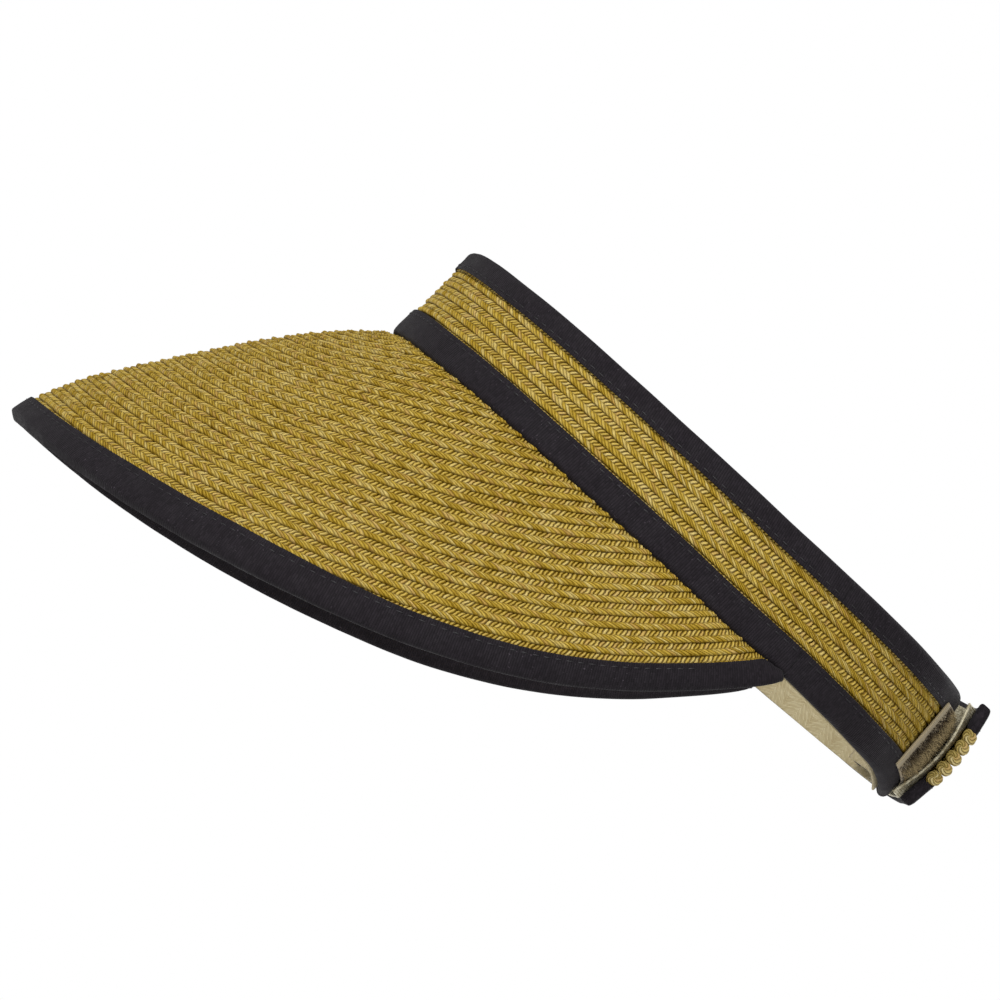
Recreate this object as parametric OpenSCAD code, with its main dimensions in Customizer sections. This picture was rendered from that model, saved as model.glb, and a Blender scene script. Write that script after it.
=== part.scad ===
// Braided straw sun visor. Origin: centre of the head opening, at the
// lower edge of the crown band. +Z up, brim towards -Y, closure towards +Y.

/* [Crown band] */
// Half length of the head opening's outer straw wall, front to back
ring_half_length = 97; // [88:0.5:106]
// Half width of the head opening's outer straw wall
ring_half_width = 74; // [66:0.5:84]
// How square the oval is
ring_squareness = 0.023; // [0:0.001:0.05]
// Height of the crown band
band_height = 33; // [26:0.5:42]
// How far the top edge leans in, except at the back
top_inset = 3.5; // [0:0.5:12]
// How far the top edge sits towards the front
top_shift = 2.2; // [0:0.2:6]
// Height of the bottom binding tape
bottom_binding_height = 9.4; // [6:0.2:14]
// Height of the top binding tape
top_binding_height = 6.8; // [4:0.2:12]

/* [Brim] */
// Angle round the opening where the brim ends
brim_end_angle = 119; // [95:1:135]
// Height of the arch added along each line from edge to crown
brim_bulge = 6; // [0:0.5:12]
// Width of the tape folded over the brim's edge
edge_binding_width = 7; // [5:0.5:16]

/* [Braid] */
// Spacing of the braid rows on the brim
brim_row_pitch = 3.7; // [3:0.1:5]
// Spacing of the braid rows on the crown band
band_row_pitch = 3.6; // [3:0.1:5]
// Thickness of one braid
braid_thickness = 1.6; // [1:0.1:2.5]
// How far each braid's outer edge stands proud of the next one
braid_lap = 0.5; // [0:0.1:1]

/* [Tapes] */
// Thickness of the binding tape
tape_thickness = 0.7; // [0.4:0.1:1.2]
// Thickness of the sweatband
sweatband_thickness = 0.9; // [0.5:0.1:1.5]
// Thickness of each half of the hook-and-loop closure
closure_tape_thickness = 0.9; // [0.6:0.1:2]
// How far the outer free end stands off the inner one where they overlap
closure_lift = 6.1; // [5:0.1:9]
// How far the outer free end climbs above the inner one where they overlap
closure_rise = 2.2; // [0:0.2:5]

/* [Hidden] */

STRAW = [0.77, 0.65, 0.36];
TAPE = [0.10, 0.09, 0.12];
LINING = [0.80, 0.74, 0.62];
LOOP = [0.50, 0.44, 0.36];
HOOK = [0.82, 0.80, 0.75];

row_gap = 0.15;
fold = 0.8;
leaf_gap = 0.2;
brim_rows = 30;
brim_first_row = 1;
band_rows = 8;
band_first_row = 2.2;
seam_gap = 0.3;
row_tip_length = 0.9;

// The crown wall: a squared oval that leans in towards its top, and stands upright at the back.
upright_start = 90;
upright_end = 165;
function ease(x) = let (c = max(0, min(1, x))) c * c * (3 - 2 * c);
function ring_scale() = 1 / (1 - ring_squareness);
function lean(t, z) = z / band_height
    * (1 - ease((abs(t) - upright_start) / (upright_end - upright_start)));
function oval(t, a, b) = [
    b * ring_scale() * (sin(t) + ring_squareness * sin(3 * t)),
    -a * ring_scale() * (cos(t) - ring_squareness * cos(3 * t))];
function oval_slope(t, a, b) = [
    b * (cos(t) + 3 * ring_squareness * cos(3 * t)),
    a * (sin(t) - 3 * ring_squareness * sin(3 * t))];
function outward(t, a, b) = let (s = oval_slope(t, a, b)) [s.y, -s.x] / norm(s);
function wall(t, z, d) = let (
    a = ring_half_length - top_inset * lean(t, z),
    b = ring_half_width - top_inset * lean(t, z),
    p = oval(t, a, b) + d * outward(t, a, b))
    [p.x, p.y - top_shift * lean(t, z), z];

// Free ends: the left one stays on the oval, the right one moves out to lap over it.
hinge_gap_angle = 0.14;
left_end_angle = 207;
right_end_angle = 191;
lift_start = 121;
lift_end = 148;
flare_start = 180;
flare = 1.5;
function lift(t) = closure_lift * ease((t - lift_start) / (lift_end - lift_start))
    + flare * ease((t - flare_start) / (right_end_angle - flare_start));
rise_start = 119;
rise_end = 160;
function rise(t) = closure_rise * ease((t - rise_start) / (rise_end - rise_start));
function wall_right(t, z, d) = wall(t, z, d + lift(-t)) + [0, 0, rise(-t)];

// The brim: straight lines from its edge curve to the crown seam, arched a little.
edge_control = [
    [0, -164.2, -95.1], [47, -164.4, -94.9], [77.5, -129, -97.6], [96, -93, -91.6],
    [107, -56.8, -71], [105.7, -21.3, -69.3], [89.6, 10.4, -49.9]];
edge_end_drop = 1;
seam_drop = 1.8;
seam_offset = 1;
fan_linear = 0.19;
fan_square = 0.69;
fan_power = 22;
function blend_points(p, u) = len(p) == 1 ? p[0]
    : blend_points([for (i = [0:len(p) - 2]) p[i] * (1 - u) + p[i + 1] * u], u);
edge_points = concat(edge_control, [wall(brim_end_angle, 0, 3) - [0, 0, edge_end_drop]]);
function side(u) = u < 0 ? -1 : 1;
function flip(p, u) = [p.x * side(u), p.y, p.z];
function edge(u) = flip(blend_points(edge_points, abs(u)), u);
function fan(u) = let (m = abs(u)) side(u) * brim_end_angle
    * (fan_linear * m + fan_square * m * m + (1 - fan_linear - fan_square) * pow(m, fan_power));
function seam(u) = let (p = wall(fan(u), 0, seam_offset)) [p.x, p.y, -seam_drop];
function reach(u) = norm(seam(u) - edge(u));
slope_step = 0.002;
function edge_slope(u) = let (h = min(slope_step, 1 - abs(u) + slope_step / 4))
    abs(u) > 1 - slope_step ? edge(u) - edge(u - side(u) * slope_step) : edge(u + h) - edge(u - h);
function face_normal(u) = let (
    s = abs(u) > 1 - slope_step ? side(u) * edge_slope(u) : edge_slope(u),
    n = cross(s, seam(u) - edge(u)))
    n / norm(n);
full_reach = reach(0);
function arch(u, r) = let (w = min(1, r / reach(u)))
    brim_bulge * reach(u) / full_reach * (1 - pow(abs(2 * w - 1), 3));
function brim(u, r, n) = edge(u) + (seam(u) - edge(u)) * r / reach(u)
    + face_normal(u) * (n + arch(u, r));

grid_count = 48;
grid = [for (i = [0:grid_count]) 2 * i / grid_count - 1];
// Position along the edge where the lines get as short as a given length.
function where_reach(r, lo = 0, hi = 1, n = 24) = n == 0 ? (lo + hi) / 2
    : let (mid = (lo + hi) / 2) reach(mid) > r ? where_reach(r, mid, hi, n - 1)
    : where_reach(r, lo, mid, n - 1);
// Stations shared by every brim piece: the even grid, then closer ones near each tip.
tail_reach = brim_first_row + row_tip_length;
tail = [for (i = [6:-1:0]) where_reach(tail_reach + i * brim_row_pitch / 2)];
stations = concat(
    [for (i = [6:-1:0]) -tail[i]],
    [for (u = grid) if (abs(u) < tail[0] - 0.004) u],
    tail);
function along(tip) = concat([-tip], [for (u = stations) if (abs(u) < tip - 0.002) u], [tip]);

// Solid through a list of cross-sections with the same number of points. Each section runs along
// one face of the strip and back along the other, so a cap is a ladder between the two.
function quad(a, b, c, d) = [[a, b, c], [a, c, d]];
function cap(count) = [for (i = [0:count / 2 - 2], f = quad(i, i + 1, count - 2 - i, count - 1 - i)) f];
function shifted(faces, by, turn) = [for (f = faces)
    turn ? [f[2] + by, f[1] + by, f[0] + by] : [f[0] + by, f[1] + by, f[2] + by]];
module loft(sections) {
    m = len(sections[0]);
    last = len(sections) - 1;
    polyhedron(
        points = [for (s = sections) each s],
        faces = concat(
            [for (i = [0:last - 1], j = [0:m - 1], f = quad(
                i * m + j, i * m + (j + 1) % m,
                (i + 1) * m + (j + 1) % m, (i + 1) * m + j)) f],
            shifted(cap(m), 0, true),
            shifted(cap(m), last * m, false)));
}

module brim_row(k) {
    start = brim_first_row + k * brim_row_pitch;
    stop = start + brim_row_pitch - row_gap;
    tip = where_reach(start + row_tip_length);
    color(STRAW) loft([for (u = along(tip))
        let (r0 = start, r1 = max(start + 0.5, min(stop, reach(u) - seam_gap)))
        [brim(u, r0, braid_lap), brim(u, r1, 0),
            brim(u, r1, braid_thickness), brim(u, r0, braid_thickness + braid_lap)]]);
}

leaf_inside = braid_thickness + braid_lap + leaf_gap;
leaf_outside = leaf_inside + tape_thickness;

module brim_edge_binding() {
    color(TAPE) loft([for (u = along(tail[6]))
        let (
            r = max(fold + 0.5, min(edge_binding_width, reach(u) - seam_gap)),
            m = (fold + r) / 2,
            low = -leaf_gap - tape_thickness)
        [brim(u, r, leaf_outside), brim(u, m, leaf_outside), brim(u, 0, leaf_outside),
            brim(u, 0, low), brim(u, m, low), brim(u, r, low),
            brim(u, r, -leaf_gap), brim(u, m, -leaf_gap), brim(u, fold, -leaf_gap),
            brim(u, fold, leaf_inside), brim(u, m, leaf_inside), brim(u, r, leaf_inside)]]);
}

// Band pieces are drawn along a list of angles, on the front wall or on the lifted right end.
function steps(a, b, n) = [for (i = [0:n]) a + (b - a) * i / n];
front_angles = steps(-brim_end_angle + hinge_gap_angle, brim_end_angle - hinge_gap_angle, 40);
left_angles = steps(brim_end_angle + hinge_gap_angle, left_end_angle, 15);
right_angles = steps(-right_end_angle, -brim_end_angle - hinge_gap_angle, 14);
function at(t, z, d, right) = right ? wall_right(t, z, d) : wall(t, z, d);
// The right end's own stations from a to b, so pieces that lie together share their facets.
function part_of(a, b) = let (inside = [for (t = right_angles) if (t > a + 0.5 && t < b) t])
    b < -brim_end_angle - hinge_gap_angle ? concat([a], inside, [b]) : concat([a], inside);

module band_block(angles, z0, z1, d0, d1, right = false) {
    loft([for (t = angles)
        [at(t, z0, d0, right), at(t, z1, d0, right), at(t, z1, d1, right), at(t, z0, d1, right)]]);
}

module band_braid_row(angles, j, right = false) {
    z0 = band_first_row + j * band_row_pitch;
    z1 = z0 + band_row_pitch - row_gap;
    color(STRAW) loft([for (t = angles)
        [at(t, z0, braid_lap, right), at(t, z1, 0, right),
            at(t, z1, braid_thickness, right), at(t, z0, braid_thickness + braid_lap, right)]]);
}

// Folded tape: its fold is at edge_z and its two leaves end at leaf_z.
module band_binding(angles, edge_z, leaf_z, right = false) {
    fold_z = edge_z + fold * sign(leaf_z - edge_z);
    inner = -leaf_gap - tape_thickness;
    section = [[leaf_z, leaf_outside], [edge_z, leaf_outside], [edge_z, inner], [leaf_z, inner],
        [leaf_z, -leaf_gap], [fold_z, -leaf_gap], [fold_z, leaf_inside], [leaf_z, leaf_inside]];
    order = edge_z < leaf_z ? [0, 1, 2, 3, 4, 5, 6, 7] : [3, 2, 1, 0, 7, 6, 5, 4];
    color(TAPE) loft([for (t = angles)
        [for (i = order) at(t, section[i][0], section[i][1], right)]]);
}

module braids(angles, right = false) {
    for (j = [0:band_rows - 1]) band_braid_row(angles, j, right);
}

top_binding_edge = band_height;
top_binding_leaf = band_height - top_binding_height;
sweatband_low = 1.5;
sweatband_high = 30;
sweatband_outside = -leaf_gap - tape_thickness - 0.1;
right_lining_end = 149;
closure_low = 5.5;
closure_high = 28.5;

module front_braid_row_1() { band_braid_row(front_angles, 0); }
module front_braid_row_2() { band_braid_row(front_angles, 1); }
module front_braid_row_3() { band_braid_row(front_angles, 2); }
module front_braid_row_4() { band_braid_row(front_angles, 3); }
module front_braid_row_5() { band_braid_row(front_angles, 4); }
module front_braid_row_6() { band_braid_row(front_angles, 5); }
module front_braid_row_7() { band_braid_row(front_angles, 6); }
module front_braid_row_8() { band_braid_row(front_angles, 7); }
module left_end_braids() { braids(left_angles); }
module right_end_braids() { braids(right_angles, true); }

module front_bottom_binding() { band_binding(front_angles, 0, bottom_binding_height); }
module left_bottom_binding() { band_binding(left_angles, 0, bottom_binding_height); }
module right_bottom_binding() { band_binding(right_angles, 0, bottom_binding_height, true); }
module front_top_binding() { band_binding(front_angles, top_binding_edge, top_binding_leaf); }
module left_top_binding() { band_binding(left_angles, top_binding_edge, top_binding_leaf); }
module right_top_binding() { band_binding(right_angles, top_binding_edge, top_binding_leaf, true); }

module sweatband(angles, right = false) {
    color(LINING) band_block(angles, sweatband_low, sweatband_high,
        sweatband_outside - sweatband_thickness, sweatband_outside, right);
}
module front_sweatband() { sweatband(front_angles); }
module left_sweatband() { sweatband(left_angles); }
module right_sweatband() {
    sweatband(part_of(-right_lining_end, -brim_end_angle), true);
}

loop_start_angle = 157.2;
loop_end_angle = 205;
module loop_tape() {
    color(LOOP) band_block(steps(loop_start_angle, loop_end_angle, 9), closure_low, closure_high,
        leaf_outside + 0.1, leaf_outside + 0.1 + closure_tape_thickness);
}

hook_start_angle = 157;
hook_end_angle = 190.3;
module hook_tape() {
    color(HOOK) band_block(part_of(-hook_end_angle, -hook_start_angle), closure_low, closure_high,
        sweatband_outside - closure_tape_thickness, sweatband_outside, true);
}

module brim_braid_row_01() { brim_row(0); }
module brim_braid_row_02() { brim_row(1); }
module brim_braid_row_03() { brim_row(2); }
module brim_braid_row_04() { brim_row(3); }
module brim_braid_row_05() { brim_row(4); }
module brim_braid_row_06() { brim_row(5); }
module brim_braid_row_07() { brim_row(6); }
module brim_braid_row_08() { brim_row(7); }
module brim_braid_row_09() { brim_row(8); }
module brim_braid_row_10() { brim_row(9); }
module brim_braid_row_11() { brim_row(10); }
module brim_braid_row_12() { brim_row(11); }
module brim_braid_row_13() { brim_row(12); }
module brim_braid_row_14() { brim_row(13); }
module brim_braid_row_15() { brim_row(14); }
module brim_braid_row_16() { brim_row(15); }
module brim_braid_row_17() { brim_row(16); }
module brim_braid_row_18() { brim_row(17); }
module brim_braid_row_19() { brim_row(18); }
module brim_braid_row_20() { brim_row(19); }
module brim_braid_row_21() { brim_row(20); }
module brim_braid_row_22() { brim_row(21); }
module brim_braid_row_23() { brim_row(22); }
module brim_braid_row_24() { brim_row(23); }
module brim_braid_row_25() { brim_row(24); }
module brim_braid_row_26() { brim_row(25); }
module brim_braid_row_27() { brim_row(26); }
module brim_braid_row_28() { brim_row(27); }
module brim_braid_row_29() { brim_row(28); }
module brim_braid_row_30() { brim_row(29); }

brim_braid_row_01();
brim_braid_row_02();
brim_braid_row_03();
brim_braid_row_04();
brim_braid_row_05();
brim_braid_row_06();
brim_braid_row_07();
brim_braid_row_08();
brim_braid_row_09();
brim_braid_row_10();
brim_braid_row_11();
brim_braid_row_12();
brim_braid_row_13();
brim_braid_row_14();
brim_braid_row_15();
brim_braid_row_16();
brim_braid_row_17();
brim_braid_row_18();
brim_braid_row_19();
brim_braid_row_20();
brim_braid_row_21();
brim_braid_row_22();
brim_braid_row_23();
brim_braid_row_24();
brim_braid_row_25();
brim_braid_row_26();
brim_braid_row_27();
brim_braid_row_28();
brim_braid_row_29();
brim_braid_row_30();
front_braid_row_1();
front_braid_row_2();
front_braid_row_3();
front_braid_row_4();
front_braid_row_5();
front_braid_row_6();
front_braid_row_7();
front_braid_row_8();
brim_edge_binding();
left_end_braids();
right_end_braids();
front_bottom_binding();
left_bottom_binding();
right_bottom_binding();
front_top_binding();
left_top_binding();
right_top_binding();
front_sweatband();
left_sweatband();
right_sweatband();
loop_tape();
hook_tape();
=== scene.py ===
import bpy
import numpy as np
from mathutils import Matrix, Vector


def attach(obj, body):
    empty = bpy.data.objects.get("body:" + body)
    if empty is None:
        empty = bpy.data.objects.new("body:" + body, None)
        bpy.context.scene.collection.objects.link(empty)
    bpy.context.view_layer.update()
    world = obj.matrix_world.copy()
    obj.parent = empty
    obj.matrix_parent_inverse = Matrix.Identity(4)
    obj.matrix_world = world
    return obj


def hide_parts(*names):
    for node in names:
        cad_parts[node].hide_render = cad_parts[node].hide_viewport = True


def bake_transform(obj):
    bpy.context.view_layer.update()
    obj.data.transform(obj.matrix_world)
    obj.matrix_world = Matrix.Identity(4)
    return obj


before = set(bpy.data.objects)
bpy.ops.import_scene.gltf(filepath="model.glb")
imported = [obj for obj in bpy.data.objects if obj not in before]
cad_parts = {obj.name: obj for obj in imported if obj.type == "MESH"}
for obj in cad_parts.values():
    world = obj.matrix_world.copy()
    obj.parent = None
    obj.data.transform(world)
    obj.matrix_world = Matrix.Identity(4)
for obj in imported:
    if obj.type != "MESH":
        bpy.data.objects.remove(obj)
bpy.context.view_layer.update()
print("frame loaded:", len(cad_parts), "solids")

cameraView = {
    "azimuth": 0.417,  # degrees from +X towards -Y
    "elevation": -3.172,
    "roll": 42.875,  # how far the top of the view leans towards -Y
    "distance": 1.7238,
    "aimRight": -0.04136,  # metres from the origin to the aim point
    "aimUp": 0.01836,
    "lens": 210.3,
}


def makeCamera(view):
    azimuth, elevation, roll = np.radians([view["azimuth"], view["elevation"], view["roll"]])
    level = np.cos(elevation)
    away = Vector((level * np.cos(azimuth), -level * np.sin(azimuth), np.sin(elevation)))
    topward = Vector((0, -np.sin(roll), np.cos(roll)))
    right = (-away).cross(topward).normalized()
    up = right.cross(-away)
    place = away * view["distance"]
    forward = (right * view["aimRight"] + up * view["aimUp"] - place).normalized()
    right = forward.cross(topward).normalized()
    up = right.cross(forward)
    data = bpy.data.cameras.new("camera")
    data.lens = view["lens"]
    data.sensor_width = 36
    data.clip_start = 0.05
    data.clip_end = 30
    camera = bpy.data.objects.new("camera", data)
    camera.matrix_world = Matrix.Translation(place) @ Matrix((right, up, -forward)).transposed().to_4x4()
    bpy.context.scene.collection.objects.link(camera)
    bpy.context.scene.camera = camera


makeCamera(cameraView)


def addNode(tree, kind, inputs=None, **settings):  # one node, its settings, then its inputs by name or number
    node = tree.nodes.new(kind)
    for name, value in settings.items():
        setattr(node, name, value)
    for name, value in (inputs or {}).items():
        if isinstance(value, bpy.types.NodeSocket):
            tree.links.new(value, node.inputs[name])
        else:
            node.inputs[name].default_value = value
    return node


def calc(tree, operation, *values):  # Math node
    return addNode(tree, "ShaderNodeMath", dict(enumerate(values)), operation=operation).outputs[0]


def ramp(tree, value, low, high, first=0.0, last=1.0):  # smooth step from low to high
    inputs = {"Value": value, "From Min": low, "From Max": high, "To Min": first, "To Max": last}
    return addNode(tree, "ShaderNodeMapRange", inputs, interpolation_type="SMOOTHSTEP").outputs[0]


def blendColour(tree, factor, first, second, mode="MIX"):
    node = addNode(tree, "ShaderNodeMix", data_type="RGBA", blend_type=mode, clamp_factor=True)
    for socket, value in ((node.inputs[0], factor), (node.inputs[6], first), (node.inputs[7], second)):
        if isinstance(value, bpy.types.NodeSocket):
            tree.links.new(value, socket)
        else:
            socket.default_value = value
    return node.outputs[2]


def vector(tree, x, y, z=0.0):
    return addNode(tree, "ShaderNodeCombineXYZ", {0: x, 1: y, 2: z}).outputs[0]


def noise(tree, coordinates, scale, detail=2.0, roughness=0.5):
    inputs = {"Vector": coordinates, "Scale": scale, "Detail": detail, "Roughness": roughness}
    return addNode(tree, "ShaderNodeTexNoise", inputs).outputs["Fac"]


def srgb(red, green, blue):  # 0-255 display colour to linear
    c = np.array([red, green, blue]) / 255
    linear = np.where(c <= 0.04045, c / 12.92, ((c + 0.055) / 1.055) ** 2.4)
    return (*[float(x) for x in linear], 1.0)


def newGroup(name, inputs, outputs):
    tree = bpy.data.node_groups.new(name, "ShaderNodeTree")
    for title, kind, value in inputs:
        socket = tree.interface.new_socket(name=title, in_out="INPUT", socket_type=kind)
        if value is not None:
            socket.default_value = value
    for title, kind in outputs:
        tree.interface.new_socket(name=title, in_out="OUTPUT", socket_type=kind)
    source = tree.nodes.new("NodeGroupInput").outputs
    return tree, source, tree.nodes.new("NodeGroupOutput").inputs


def useGroup(tree, group, inputs):
    return addNode(tree, "ShaderNodeGroup", inputs, node_tree=group).outputs


# fibre streaks: noise squeezed along x, so that each strand carries fine lengthwise lines
fibres, groupIn, groupOut = newGroup(
    "fibre streaks",
    [("Across", "NodeSocketFloat", 0.0), ("Along", "NodeSocketFloat", 0.0),
     ("Fineness", "NodeSocketFloat", 6.0)],
    [("Streaks", "NodeSocketFloat")])
squeezed = vector(fibres, calc(fibres, "MULTIPLY", groupIn["Across"], groupIn["Fineness"]), groupIn["Along"])
fibres.links.new(noise(fibres, squeezed, 1.0, 3.0, 0.6), groupOut["Streaks"])

# ribs: one rounded rise per unit of the coordinate, broken up a little by noise
ribs, groupIn, groupOut = newGroup(
    "woven ribs",
    [("Along", "NodeSocketFloat", 0.0), ("Across", "NodeSocketFloat", 0.0), ("Pitch", "NodeSocketFloat", 0.4),
     ("Slant", "NodeSocketFloat", 0.0), ("Unevenness", "NodeSocketFloat", 0.25)],
    [("Height", "NodeSocketFloat"), ("Thread", "NodeSocketFloat")])
leaning = calc(ribs, "MULTIPLY_ADD", groupIn["Across"], groupIn["Slant"], groupIn["Along"])
turns = calc(ribs, "DIVIDE", leaning, groupIn["Pitch"])
wobble = noise(ribs, vector(ribs, groupIn["Along"], groupIn["Across"]), 0.8)
turns = calc(ribs, "MULTIPLY_ADD", wobble, groupIn["Unevenness"], turns)
wave = calc(ribs, "ABSOLUTE", calc(ribs, "SINE", calc(ribs, "MULTIPLY", turns, np.pi)))
ribs.links.new(wave, groupOut["Height"])
stretch = calc(ribs, "FLOOR", calc(ribs, "DIVIDE", groupIn["Across"], 0.9))
cell = vector(ribs, calc(ribs, "FLOOR", turns), stretch)
threadTint = addNode(ribs, "ShaderNodeTexWhiteNoise", {"Vector": cell}, noise_dimensions="2D")
ribs.links.new(threadTint.outputs["Value"], groupOut["Thread"])

# lint and dust: small scattered flecks where fine noise passes a threshold, in patches
dust, groupIn, groupOut = newGroup(
    "lint and dust",
    [("Coordinates", "NodeSocketVector", None), ("Fineness", "NodeSocketFloat", 900.0),
     ("Threshold", "NodeSocketFloat", 0.68)],
    [("Mask", "NodeSocketFloat")])
flecks = noise(dust, groupIn["Coordinates"], groupIn["Fineness"], 1.0)
patches = noise(dust, groupIn["Coordinates"], 40.0, 2.0)
above = ramp(dust, flecks, groupIn["Threshold"], calc(dust, "ADD", groupIn["Threshold"], 0.06))
dust.links.new(calc(dust, "MULTIPLY", above, ramp(dust, patches, 0.4, 0.65)), groupOut["Mask"])


def newMaterial(name, **shaderValues):
    material = bpy.data.materials.new(name)
    material.use_nodes = True
    tree = material.node_tree
    shader = tree.nodes["Principled BSDF"]
    for title, value in shaderValues.items():
        shader.inputs[title.replace("_", " ")].default_value = value
    return material, tree, shader


def surfaceCoordinates(tree, uvName):
    uv = addNode(tree, "ShaderNodeUVMap", uv_map=uvName).outputs[0]
    parts = addNode(tree, "ShaderNodeSeparateXYZ", {0: uv}).outputs
    return parts[0], parts[1]


def objectCoordinates(tree):
    return addNode(tree, "ShaderNodeTexCoord").outputs["Object"]


def joinShader(tree, shader, height=None, strength=1.0, distance=0.0, **links):
    for title, value in links.items():
        tree.links.new(value, shader.inputs[title.replace("_", " ")])
    if height is not None:
        bump = addNode(tree, "ShaderNodeBump", {"Strength": strength, "Distance": distance, "Height": height})
        tree.links.new(bump.outputs[0], shader.inputs["Normal"])


strawLook = {
    "dark": srgb(118, 88, 4),
    "olive": srgb(162, 132, 24),
    "golden": srgb(190, 161, 60),
    "pale": srgb(208, 188, 118),
    "rosy": srgb(184, 144, 86),
    # painted shade laid into the crevices between strands and along the rows' edges
    "creviceShade": srgb(54, 32, 0),
    "seam": 0.47,  # where the two strand columns meet, across the plait
    "bump": 0.0002,
}

cutLook = {  # the cut and curled ends, duller than the face of the plaits
    **strawLook,
    "dark": srgb(112, 92, 40),
    "olive": srgb(154, 134, 66),
    "golden": srgb(182, 162, 98),
    "pale": srgb(212, 198, 150),
    # painted shade in the crevices, as on the plaits
    "creviceShade": srgb(50, 36, 14),
}


def makeStraw(look, name="straw plait"):
    material, tree, shader = newMaterial(name, Specular_IOR_Level=0.14, IOR=1.5)
    phase, across = surfaceCoordinates(tree, "strands")
    v = calc(tree, "PINGPONG", across, 1.0)  # 0 at the outer edge, 1 at the inner edge, on both faces
    inner = calc(tree, "GREATER_THAN", v, look["seam"])
    strand = calc(tree, "MULTIPLY_ADD", inner, 0.5, phase)
    number = calc(tree, "FLOOR", strand)
    within = calc(tree, "FRACT", strand)
    cell = vector(tree, number, calc(tree, "MULTIPLY", inner, 17.0))
    tint = addNode(tree, "ShaderNodeTexWhiteNoise", {"Vector": cell}, noise_dimensions="2D").outputs
    objectPlace = objectCoordinates(tree)
    patch = noise(tree, objectPlace, 22.0, 3.0)
    crumple = noise(tree, objectPlace, 900.0, 2.0)
    shade = calc(tree, "MULTIPLY_ADD", patch, 0.3, calc(tree, "MULTIPLY", tint["Value"], 0.6))
    shade = calc(tree, "MULTIPLY_ADD", crumple, 0.5, calc(tree, "SUBTRACT", shade, 0.1))
    band = addNode(tree, "ShaderNodeValToRGB", {"Fac": shade})
    stops = band.color_ramp.elements
    stops[0].position, stops[0].color = 0.08, look["dark"]
    stops[1].position, stops[1].color = 0.98, look["pale"]
    for place, colour in ((0.36, look["olive"]), (0.66, look["golden"])):
        stops.new(place).color = colour
    chance = addNode(tree, "ShaderNodeSeparateColor", {0: tint["Color"]}).outputs[1]
    colour = blendColour(tree, ramp(tree, chance, 0.84, 0.95, 0.0, 0.5), band.outputs[0], look["rosy"])
    lengthwise = calc(tree, "MULTIPLY_ADD", v, 1.5, number)
    streaks = useGroup(tree, fibres, {"Across": within, "Along": lengthwise})[0]
    colour = blendColour(tree, ramp(tree, streaks, 0.34, 0.66, 0.55, 0.0), colour, look["dark"])
    # painted shade: the crevice colour is laid where two strands meet, where the columns meet, along the
    # tucked inner edge and along the outer edge
    side = calc(tree, "ABSOLUTE", calc(tree, "MULTIPLY_ADD", within, 2.0, -1.0))
    ragged = calc(tree, "MULTIPLY_ADD", crumple, 0.3, calc(tree, "SUBTRACT", side, 0.15))
    between = ramp(tree, ragged, 0.36, 0.86)
    columns = ramp(tree, calc(tree, "ABSOLUTE", calc(tree, "SUBTRACT", v, look["seam"])), 0.0, 0.08, 0.5, 0.0)
    tucked = ramp(tree, v, 0.78, 0.95)
    under = ramp(tree, v, 0.02, 0.1, 0.6, 0.0)
    depth = calc(tree, "MULTIPLY", between, calc(tree, "MULTIPLY_ADD", inner, 0.42, 0.5))
    # painted highlight: the top of each strand is painted paler, most of all in the inner column
    highlightShare = calc(tree, "MULTIPLY_ADD", inner, 0.2, 0.08)
    strandHighlight = calc(tree, "MULTIPLY", ramp(tree, side, 0.6, 0.1), highlightShare)
    colour = blendColour(tree, strandHighlight, colour, look["pale"])
    # painted shade along both edges of the row
    edges = calc(tree, "MAXIMUM", tucked, under)
    creviceShade = calc(tree, "MAXIMUM", calc(tree, "MAXIMUM", depth, columns), edges)
    colour = blendColour(tree, calc(tree, "MULTIPLY", creviceShade, 0.9), colour, look["creviceShade"])
    profile = calc(tree, "SUBTRACT", 1.0, calc(tree, "MULTIPLY", side, side))
    height = calc(tree, "MULTIPLY_ADD", streaks, 0.8, profile)
    height = calc(tree, "MULTIPLY_ADD", crumple, 0.8, height)
    roughness = ramp(tree, streaks, 0.3, 0.7, 0.62, 0.42)
    joinShader(tree, shader, height, 0.85, look["bump"], Base_Color=colour, Roughness=roughness)
    return material


tapeLook = {
    "cloth": srgb(23, 19, 23),
    "thread": srgb(39, 34, 39),
    # painted shade between the ribs
    "groove": srgb(8, 6, 9),
    "lint": srgb(88, 80, 88),
    "ribPitch": 0.75,
    "bump": 0.00015,
}


def makeTape(look):
    material, tree, shader = newMaterial("black binding tape", Specular_IOR_Level=0.12, Sheen_Weight=0.03,
                                         Sheen_Roughness=0.5)
    along, across = surfaceCoordinates(tree, "cloth")
    weave = useGroup(tree, ribs, {"Along": along, "Across": across, "Pitch": look["ribPitch"], "Slant": 0.12})
    objectPlace = objectCoordinates(tree)
    colour = blendColour(tree, calc(tree, "MULTIPLY", weave["Thread"], 0.55), look["cloth"], look["thread"])
    # painted shade: the groove colour darkens the low parts between the ribs
    colour = blendColour(tree, ramp(tree, weave["Height"], 0.0, 0.6, 0.6, 0.0), colour, look["groove"])
    flecks = useGroup(tree, dust, {"Coordinates": objectPlace, "Fineness": 1500.0, "Threshold": 0.7})[0]
    colour = blendColour(tree, calc(tree, "MULTIPLY", flecks, 0.5), colour, look["lint"])
    roughness = ramp(tree, noise(tree, objectPlace, 120.0), 0.3, 0.7, 0.62, 0.8)
    cross = calc(tree, "ABSOLUTE", calc(tree, "SINE", calc(tree, "MULTIPLY", across, 9.0)))
    height = calc(tree, "MULTIPLY_ADD", cross, 0.25, weave["Height"])
    joinShader(tree, shader, height, 0.8, look["bump"], Base_Color=colour, Roughness=roughness)
    return material


liningLook = {
    "cream": srgb(170, 157, 121),
    "shade": srgb(120, 104, 68),
    "pale": srgb(190, 179, 146),
    "column": 5.2,  # width of one herringbone column
    "thread": 0.62,
    "bump": 0.00012,
}


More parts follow.
